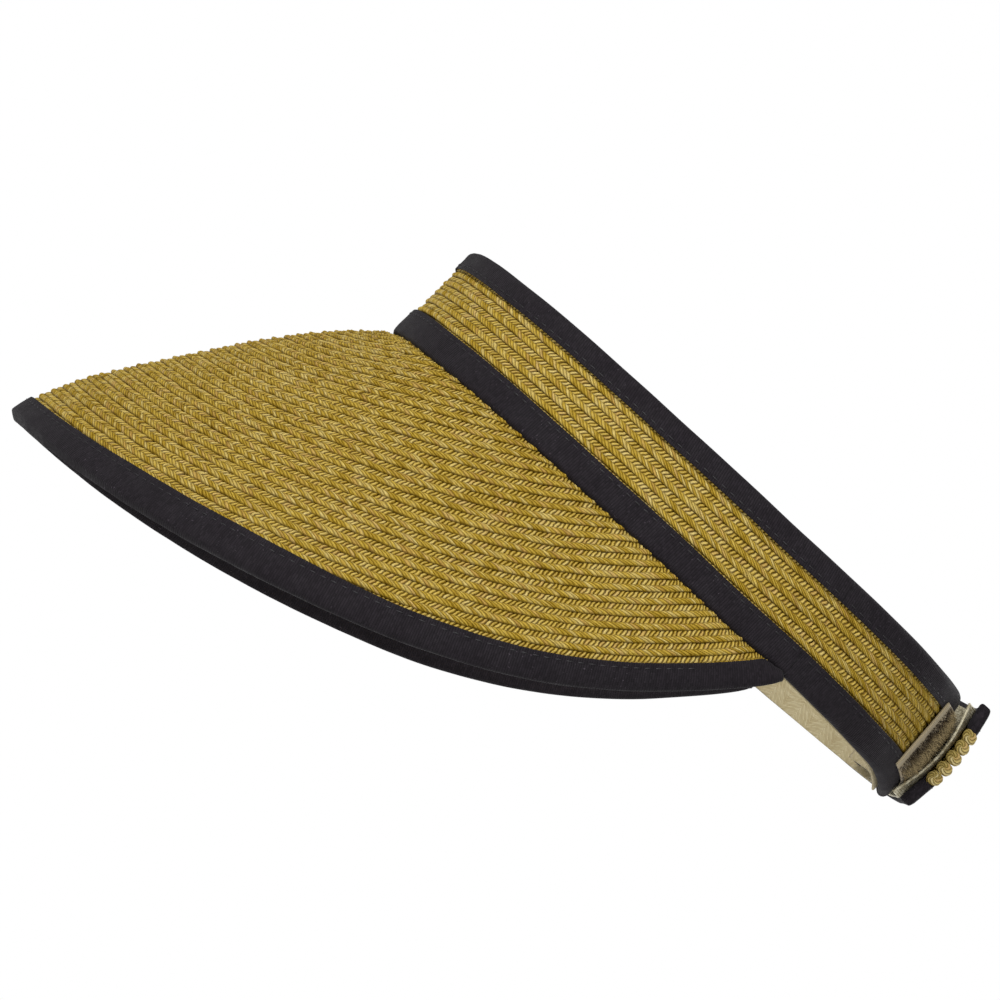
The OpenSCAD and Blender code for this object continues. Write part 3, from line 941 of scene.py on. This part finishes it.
def stitchLine(place, arcLength, heightAt, depthAt, startAt=0.0):
    pitch, margin = tapeCut["stitchPitch"], tapeCut["stitchMargin"]
    first = np.ceil((startAt + margin) / pitch) * pitch - startAt
    s = np.arange(first, arcLength - margin, pitch)
    behind, middle, before = (place(s + step, heightAt + 0 * s, depthAt + 0 * s) for step in (-0.5, 0, 0.5))
    ahead = before - behind
    ahead /= np.linalg.norm(ahead, axis=1)[:, None]
    out = place(s, heightAt + 0 * s, depthAt + 1 + 0 * s) - middle
    out -= ahead * np.einsum("ij,ij->i", out, ahead)[:, None]
    out /= np.linalg.norm(out, axis=1)[:, None]
    return stitchSkin(middle, ahead, out, tapeCut["stitchSize"])


# brim edge binding: the same fold, with height as distance from the edge and depth along the face normal
edgeTape = {
    "width": 6.25,
    "foldAt": -0.7,
    "swell": (0.44, 0.4, 0.24),  # the tape's extra width, where along the brim it is widest, and its spread
    "nose": (1.25, 1.1, 0.55),  # how far the fold stands off the straw: at the sides, less in front, where
    "endReach": 1.6,  # brim depth where the tape stops at each rear end
    "room": (0.8, 2.0),  # how far its leaf may pass the seam, and the least width left to it
    "margin": 26.0,  # length without stitches at each end
}


def makeEdgeTape(cut):
    u, reach = brimTable["u"], brimTable["reach"]
    half = len(u) // 2
    endU = float(np.interp(-cut["endReach"], -reach[half:], u[half:]))
    inside = np.linspace(-endU, endU, 4000)
    arc, inside = arcTable(inside, brim(inside, 0, 1))
    pastSeam, least = cut["room"]

    def place(s, r, n):
        at = np.interp(s, arc, inside)
        room = np.maximum(np.interp(at, u, reach) + pastSeam, least)
        extra, centre, spread = cut["swell"]
        wider = 1 + extra * np.exp(-((np.abs(at) - centre) / spread) ** 2)
        nose = cut["nose"][0] - cut["nose"][1] * np.exp(-(at / cut["nose"][2]) ** 4)
        rise = np.where(r > 0, np.minimum(r * wider, room), r * nose)
        return brim(at, rise, n)

    path = foldPath(cut["foldAt"], cut["width"], tapeCut["outer"], tapeCut["inner"], 11, 9)
    skin, flat = tapeSkin(path, arc[-1], place, 61, cut["width"] - tapeCut["stitchIn"])
    piece = makePiece("brim_edge_tape", skin, tape)
    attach(piece, "visor")
    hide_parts("brim_edge_binding")
    margin, off = cut["margin"], tapeCut["stitchOff"]

    def placeInner(s, r, n):
        return place(s + margin, r, n)

    stitches = [stitchLine(placeInner, arc[-1] - 2 * margin, cut["width"] - tapeCut["stitchIn"], depth)
                for depth in (tapeCut["outer"] + off, tapeCut["inner"] - off)]
    sewing = makePiece("brim_edge_stitches", joinSkins(stitches), thread)
    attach(sewing, "visor")


makeEdgeTape(edgeTape)

bandTapes = {  # heights of each tape's fold and of its leaves' edges, and the front row it rests on
    "bottom": {"fold": -0.3, "leaf": 8.95, "row": "band_row_2"},
    "top": {"fold": 33.1, "leaf": 26.2, "row": "band_row_7"},
}


def spanTable(part, z):  # distance along the band at a height, from one end of the part to the other
    hinge = crown["brimEnd"]
    limits = {"right": (crown["rightEnd"], -hinge), "front": (-hinge, hinge),
              "left": (hinge, crown["leftEnd"])}
    whole = np.linspace(crown["rightEnd"], crown["leftEnd"], 6000)
    arc, whole = arcTable(whole, wall(whole, z, 2.5))
    low, high = (float(np.interp(x, whole, arc)) for x in limits[part])
    return arc, whole, low, high


def makeBandTapes(tapes):
    for level, cut in tapes.items():
        for part in ("front", "left", "right"):
            arc, whole, low, high = spanTable(part, cut["leaf"])

            def place(s, z, d, arc=arc, whole=whole, low=low):
                return wall(np.interp(s + low, arc, whole), z, d)

            path = foldPath(cut["fold"], cut["leaf"], tapeCut["outer"], tapeCut["inner"])
            side = np.sign(cut["fold"] - cut["leaf"])
            stitchAt = cut["leaf"] + side * tapeCut["stitchIn"]
            skin, flat = tapeSkin(path, high - low, place, 71, stitchAt, low)
            piece = makePiece(part + "_" + level + "_tape", skin, tape)
            hold(piece, part)
            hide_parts(part + "_" + level + "_binding")
            stitches = stitchLine(place, high - low, stitchAt, tapeCut["outer"] + tapeCut["stitchOff"], low)
            sewing = makePiece(part + "_" + level + "_stitches", stitches, thread)
            hold(sewing, part)


makeBandTapes(bandTapes)
print("tapes made")

liningCut = {
    "heights": (-0.75, 30.0),
    "depth": -1.38,
    "thickness": 0.7,
    "rightEnd": -158.3,  # degrees round the opening where the hook tape takes over
    "pastLeftEnd": 0.9,  # how far the lining wraps the cut end, in degrees
    "step": 1.2,
    "wave": 0.12,
}


def flatBand(name, span, heights, depth, thickness, step, material, seed, heightPoints=15, wave=0.0,
             bend=None, fray=0.0):
    # a flat strip along the wall: height across, distance along, rounded edges, a slow wave in depth;
    # bend gives an extra depth at each distance, and fray wanders the first end to and fro
    z0, z1 = heights
    whole = np.linspace(*span, 3000)
    arc, whole = arcTable(whole, wall(whole, (z0 + z1) / 2, depth))
    count = max(6, int(arc[-1] / step))
    s = np.linspace(0, arc[-1], count)
    z = np.concatenate([[z0, z0 + 0.15], np.linspace(z0 + 0.6, z1 - 0.6, heightPoints), [z1 - 0.15, z1]])
    path = np.stack([z, np.full(len(z), depth)], -1)
    ring = stripRing(path, thickness)
    ragged = drift(ring[:, 0], seed + 1, 5.0, fray)
    t = np.interp(s[:, None] + ragged[None, :] * np.clip(1 - s / 4.0, 0, 1)[:, None], arc, whole)
    ripple = drift(s[:, None] + 3 * ring[None, :, 0], seed, 37.0, wave)
    if bend is not None:
        ripple = ripple + bend(s[:, None], ring[None, :, 0])
    grid = wall(t, ring[None, :, 0], ring[None, :, 1] + ripple)
    piece = makePiece(name, tubeSkin(grid, *stripUv(s, path), ladder=True), material)
    return piece, (z1 - z0, float(arc[-1]))


def makeLinings(cut):
    hinge = crown["brimEnd"]
    spans = {"front": (-hinge, hinge), "left": (hinge, crown["leftEnd"] + cut["pastLeftEnd"]),
             "right": (cut["rightEnd"], -hinge)}
    for part, span in spans.items():
        piece, flat = flatBand(part + "_lining", span, cut["heights"], cut["depth"], cut["thickness"],
                               cut["step"], lining, 31, wave=cut["wave"])
        hold(piece, part)
        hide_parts(part + "_sweatband")


makeLinings(liningCut)

closure = {
    "loop": (157.2, 205.0),  # degrees round the opening
    "loopHeights": (5.5, 28.5),
    "loopDepth": 3.5,
    "hook": (-190.6, -157.0),
    "hookHeights": (-0.6, 31.4),
    "hookDepth": -1.45,
    "thickness": 0.75,
    "curl": (0.9, 2.3),  # how far the hook tape's end curls off, at mid height and at top and bottom
    "curlLength": 5.5,
    "fray": 0.35,  # how far its cut end wanders to and fro
    "hairs": 5600,
    "hairLength": (1.8, 3.4),
    "hairWidth": 0.17,
    "selvage": 2.6,  # plain woven margin at the loop tape's front end
    "hooks": 3400,
    "hookLength": (0.5, 1.0),
    "hookWidth": 0.16,
}


def spikes(roots, ahead, out, length, width, along, tilt, rng, trim=1.0):
    # three-sided needles: each tip leans off the surface's normal by a random share of its length
    count = len(roots)
    side = np.cross(out, ahead)
    lean = rng.normal(0, tilt, (2, count, 1))
    reach = rng.uniform(*length, (count, 1)) * np.broadcast_to(trim, count)[:, None]
    tip = roots + (out + ahead * lean[0] + side * lean[1]) * reach
    turn = rng.uniform(0, 2 * np.pi, (count, 1))
    corners = [roots - out * 0.1 + (ahead * np.cos(turn + k) + side * np.sin(turn + k)) * width / 2
               for k in (0, 2 * np.pi / 3, 4 * np.pi / 3)]
    points = np.stack([*corners, tip], 1).reshape(-1, 3)
    first = 4 * np.arange(count)[:, None, None]
    faces = np.array([[0, 2, 1], [0, 1, 3], [1, 2, 3], [2, 0, 3]])
    tris = (first + faces[None]).reshape(-1, 3)
    heightUv = np.where(faces == 3, 1.0, 0.0)
    triUv = np.stack([np.broadcast_to(along[:, None, None], (count, 4, 3)),
                      np.broadcast_to(heightUv, (count, 4, 3))], -1).reshape(-1, 3, 2)
    if enclosed(points[:4] - points[0], tris[:4]) < 0:
        tris, triUv = tris[:, ::-1], triUv[:, ::-1]
    return points, np.zeros((0, 4), int), np.zeros((0, 4, 2)), tris, triUv


def wallFrame(t, z, d, outward):  # a point on the wall with its directions ahead and out
    middle = wall(t, z, d)
    ahead = wall(t + 0.3, z, d) - wall(t - 0.3, z, d)
    ahead /= np.linalg.norm(ahead, axis=-1)[..., None]
    up = wall(t, z + 0.5, d) - wall(t, z - 0.5, d)
    out = np.cross(ahead, up)
    out *= outward / np.linalg.norm(out, axis=-1)[..., None]
    return middle, ahead, out


def makeClosure(cut):
    low, high = cut["loopHeights"]
    loopSide, flat = flatBand("loop_side", cut["loop"], cut["loopHeights"], cut["loopDepth"],
                              cut["thickness"], 0.6, pile, 41, heightPoints=40)
    hold(loopSide, "left")
    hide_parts("loop_tape")
    rng = np.random.default_rng(77)
    t = np.linspace(*cut["loop"], 900)
    arc, t = arcTable(t, wall(t, 17, cut["loopDepth"]))
    s = rng.uniform(cut["selvage"], arc[-1] - 0.5, cut["hairs"])
    z = rng.uniform(low + 0.4, high - 0.4, cut["hairs"])
    roots, ahead, out = wallFrame(np.interp(s, arc, t), z, cut["loopDepth"] + cut["thickness"] / 2, 1)
    trim = np.clip(np.minimum(z - low, high - z) / 3.5, 0.45, 1)  # the pile is worn short at the sides
    skin = spikes(roots, ahead, out, cut["hairLength"], cut["hairWidth"], s, 0.4, rng, trim)
    tufts = makePiece("loop_pile", skin, hairs)
    hold(tufts, "left")

    low, high = cut["hookHeights"]

    def curl(s, z):  # grows with the square of the distance from mid height, and fades along the tape
        middle = (low + high) / 2
        share = np.clip(np.abs(z - middle) / (high - middle), 0, 1) ** 2
        size = cut["curl"][0] + (cut["curl"][1] - cut["curl"][0]) * share
        return -size * ease((cut["curlLength"] - s) / cut["curlLength"])

    hookSide, flat = flatBand("hook_side", cut["hook"], cut["hookHeights"], cut["hookDepth"],
                              cut["thickness"], 0.4, hooks, 43, heightPoints=40, bend=curl,
                              fray=cut["fray"])
    hold(hookSide, "right")
    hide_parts("hook_tape")
    t = np.linspace(*cut["hook"], 900)
    arc, t = arcTable(t, wall(t, 17, cut["hookDepth"]))
    s = rng.uniform(0.0, arc[-1] - 0.5, cut["hooks"])
    z = rng.uniform(low + 0.2, high - 0.2, cut["hooks"])
    depth = cut["hookDepth"] - cut["thickness"] / 2 + curl(s, z)
    roots, ahead, out = wallFrame(np.interp(s, arc, t), z, depth, -1)
    skin = spikes(roots, ahead, out, cut["hookLength"], cut["hookWidth"], s, 0.5, rng)
    bristles = makePiece("hook_bristles", skin, hooks)
    hold(bristles, "right")


makeClosure(closure)

endCut = {
    "caps": {"bottom": (-0.75, 7.6), "top": (25.7, 33.7)},  # lowest and highest point of each folded tape end
    "capDepth": (-0.95, 3.15),
    "capLength": 1.3,
    "corner": 0.42,  # 1 gives an ellipsoid, 0 a sharp block
    "knotRadii": (1.7, 1.9, 2.3),  # along the band, in height, in depth
    "knotDepth": 1.6,
    "knotLow": 0.5,  # height of a knot's middle above its row's lower edge
    "twist": 0.13,
}


def blockSkin(place, middle, radii, corner, twist=0.0, turns=0, start=0.0, count=17, around=32):
    # a superellipsoid: powers of sine and cosine, with an optional spiral of strands wound round it
    angle = np.linspace(0, np.pi, count + 2)[1:-1, None]
    turn = np.linspace(0, 2 * np.pi, around + 1)[None, :-1]
    spiral = turns * turn + 4.0 * angle + start
    swell = 1 + twist * (np.abs(np.sin(spiral)) - 0.6)
    power = lambda x: np.sign(x) * np.abs(x) ** corner
    ring = np.sin(angle) ** corner * swell
    shape = (power(np.cos(angle)) * swell, ring * power(np.cos(turn)), ring * power(np.sin(turn)))
    grid = place(*(centre + radius * part for centre, radius, part in zip(middle, radii, shape)))
    wide = np.concatenate([turn, [[2 * np.pi]]], 1)
    along = (turns * wide + 4.0 * angle + start) / np.pi if turns else radii[1] * wide + 0 * angle
    across = 0.2 + 0 * along if turns else radii[0] * 2 * angle + 0 * wide
    return tubeSkin(grid, along, across)


def makeEnds(cut):
    for part, tip, way in (("left", crown["leftEnd"], 1), ("right", crown["rightEnd"], -1)):
        speed = float(np.linalg.norm(wall(tip + 0.5, 16, 1) - wall(tip - 0.5, 16, 1)))

        def place(s, z, d, tip=tip, way=way, speed=speed):
            return wall(tip + way * s / speed, z, d)

        for level, (low, high) in cut["caps"].items():
            near, far = cut["capDepth"]
            skin = blockSkin(place, (0.1, (low + high) / 2, (near + far) / 2),
                             (cut["capLength"], (high - low) / 2, (far - near) / 2), cut["corner"])
            cap = makePiece(part + "_" + level + "_cap", skin, tape)
            hold(cap, part)
        knots = []
        rng = np.random.default_rng(29)
        for j in range(bandRows["count"]):
            if j not in bandRows["hidden"]:
                height = bandRows["first"] + j * bandRows["pitch"] + cut["knotLow"] + rng.uniform(-0.2, 0.2)
                radii = np.array(cut["knotRadii"]) * rng.uniform(0.92, 1.06, 3)
                corner, turns, start = rng.uniform(0.75, 0.95), int(rng.integers(3, 5)), rng.uniform(0, 6.28)
                knots.append(blockSkin(place, (0.3, height, cut["knotDepth"]), radii, corner, cut["twist"],
                                       turns, start, count=24, around=48))
        piece = makePiece(part + "_end_knots", joinSkins(knots), cutStraw, "strands")
        hold(piece, part)


makeEnds(endCut)
print("lining, closure and ends made")

stage = {
    "floorHeight": -0.42,
    "radius": 3.0,
    "segments": 96,
    "paper": 0.86,
    "fadeStart": 0.35,  # distance from the object where the floor starts to fade into white
    "fadeEnd": 0.85,
    "world": 0.4,
}


def makeStage(look):
    mesh = bpy.data.meshes.new("floor")
    turn = np.linspace(0, 2 * np.pi, look["segments"] + 1)[:-1]
    x, y = np.cos(turn) * look["radius"], np.sin(turn) * look["radius"]
    ring = np.stack([x, y, 0 * turn + look["floorHeight"]], -1)
    mesh.from_pydata(ring.tolist(), [], [list(range(look["segments"]))])
    floor = bpy.data.objects.new("floor", mesh)
    bpy.context.scene.collection.objects.link(floor)
    material, tree, paper = newMaterial("floor paper", Base_Color=(*[look["paper"]] * 3, 1), Roughness=0.9)
    place = objectCoordinates(tree)
    flat = addNode(tree, "ShaderNodeVectorMath", {0: place, 1: (1, 1, 0)}, operation="MULTIPLY").outputs[0]
    radius = addNode(tree, "ShaderNodeVectorMath", {0: flat}, operation="LENGTH").outputs["Value"]
    fade = ramp(tree, radius, look["fadeStart"], look["fadeEnd"])
    glow = addNode(tree, "ShaderNodeEmission", {"Color": (1, 1, 1, 1), "Strength": 1.0})
    blend = addNode(tree, "ShaderNodeMixShader", {0: fade, 1: paper.outputs[0], 2: glow.outputs[0]})
    tree.links.new(blend.outputs[0], tree.nodes["Material Output"].inputs["Surface"])
    mesh.materials.append(material)
    world = bpy.data.worlds.new("studio")
    bpy.context.scene.world = world
    world.use_nodes = True
    tree = world.node_tree
    tree.nodes.clear()
    seen = addNode(tree, "ShaderNodeBackground", {"Color": (1, 1, 1, 1), "Strength": 1.0})
    lit = addNode(tree, "ShaderNodeBackground", {"Color": (1, 1, 1, 1), "Strength": look["world"]})
    direct = addNode(tree, "ShaderNodeLightPath").outputs["Is Camera Ray"]
    mix = addNode(tree, "ShaderNodeMixShader", {0: direct, 1: lit.outputs[0], 2: seen.outputs[0]})
    out = addNode(tree, "ShaderNodeOutputWorld")
    tree.links.new(mix.outputs[0], out.inputs["Surface"])


def makeLight(name, place, aim, size, power):
    data = bpy.data.lights.new(name, "AREA")
    data.shape = "DISK"
    data.size = size
    data.energy = power
    lamp = bpy.data.objects.new(name, data)
    lamp.location = place
    lamp.rotation_euler = (Vector(aim) - Vector(place)).to_track_quat("-Z", "Y").to_euler()
    bpy.context.scene.collection.objects.link(lamp)


makeStage(stage)
lights = {  # place, aim point, disk diameter and power
    "high key": ((1.15, -0.75, 0.95), (0, -0.05, -0.03), 0.7, 20),
    "camera side fill": ((1.6, 0.3, 0.4), (0, 0, -0.02), 1.2, 8),
    "rear fill": ((-1.3, 1.1, 0.8), (0, 0, 0), 1.2, 10),
}
for name, settings in lights.items():
    makeLight(name, *settings)
bpy.context.scene.view_settings.view_transform = "Standard"

print("stage set")
